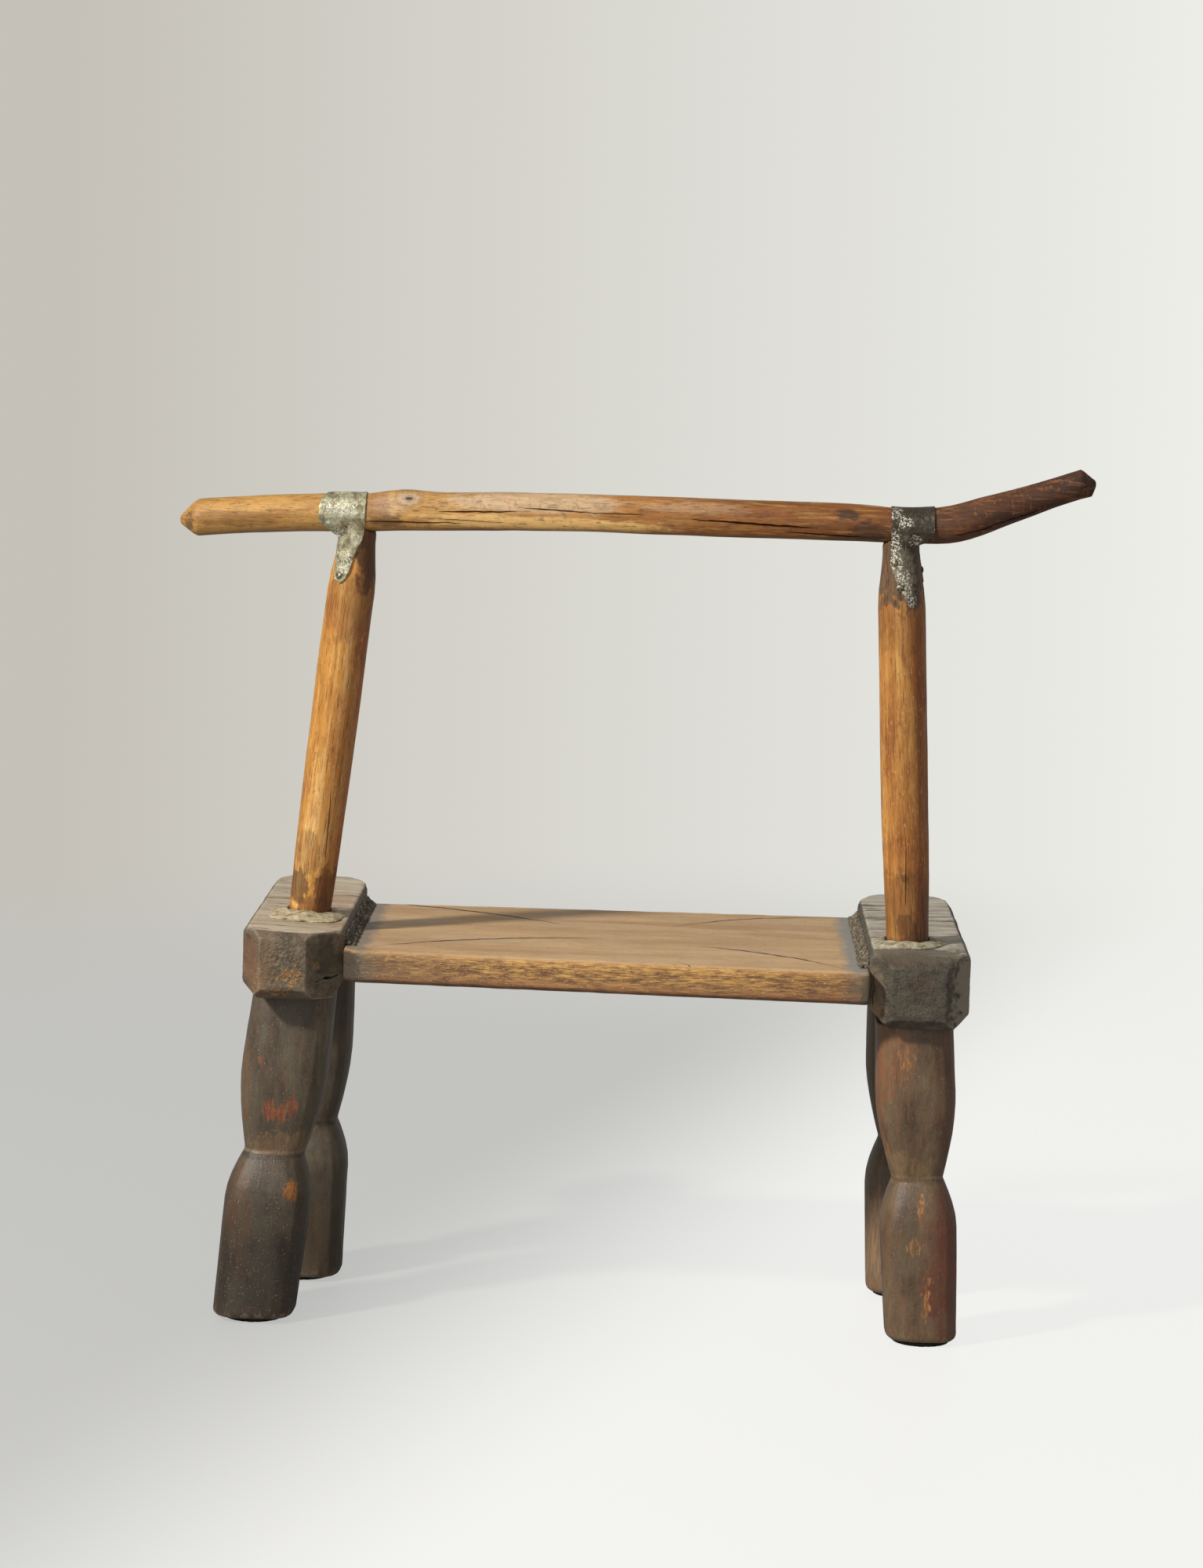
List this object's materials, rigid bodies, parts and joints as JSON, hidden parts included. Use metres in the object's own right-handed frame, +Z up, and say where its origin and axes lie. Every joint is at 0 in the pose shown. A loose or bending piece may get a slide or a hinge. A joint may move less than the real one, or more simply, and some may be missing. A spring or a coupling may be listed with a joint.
{
  "type": "low wooden chair",
  "caption": "Low chair with a thin seat board let into two heavy end blocks on waisted legs, and round posts carrying a bent back rail held by nailed metal straps.",
  "frame": {"origin": "on the floor, under the middle of the whole chair", "axes": "+X to the sitter's right along the back rail; +Y to the front of the seat; +Z up"},
  "size_m": [0.5924, 0.295, 0.5812],
  "materials": {
    "seat_wood": "matte, worn smooth, pale tan",
    "block_wood": "dark patina, dull, worn arrises",
    "leg_wood": "dark patina with worn warm spots",
    "pole_wood": "hand-polished, warm orange brown, soft sheen",
    "tin_sheet": "tarnished tinned sheet, scratched",
    "nail_steel": "dull hammered nail heads",
    "putty": "pale lumpy putty",
    "dark_filler": "dark crumbly resin",
    "pad_rubber": "dark matte foot pad"
  },
  "bodies": {
    "root": {"seat_board": "seat_wood", "left_end_block": "block_wood", "right_end_block": "block_wood", "left_rear_leg": "leg_wood", "left_front_leg": "leg_wood", "right_rear_leg": "leg_wood", "right_front_leg": "leg_wood", "left_rear_pad": "pad_rubber", "left_front_pad": "pad_rubber", "right_rear_pad": "pad_rubber", "right_front_pad": "pad_rubber", "left_post": "pole_wood", "right_post": "pole_wood", "back_rail": "pole_wood", "left_strap": "tin_sheet", "right_strap": "tin_sheet", "left_strap_nails": "nail_steel", "right_strap_nails": "nail_steel", "left_post_filler": "putty", "right_post_filler": "putty", "left_seat_filler": "dark_filler", "right_seat_filler": "dark_filler"}
  },
  "joints": []
}
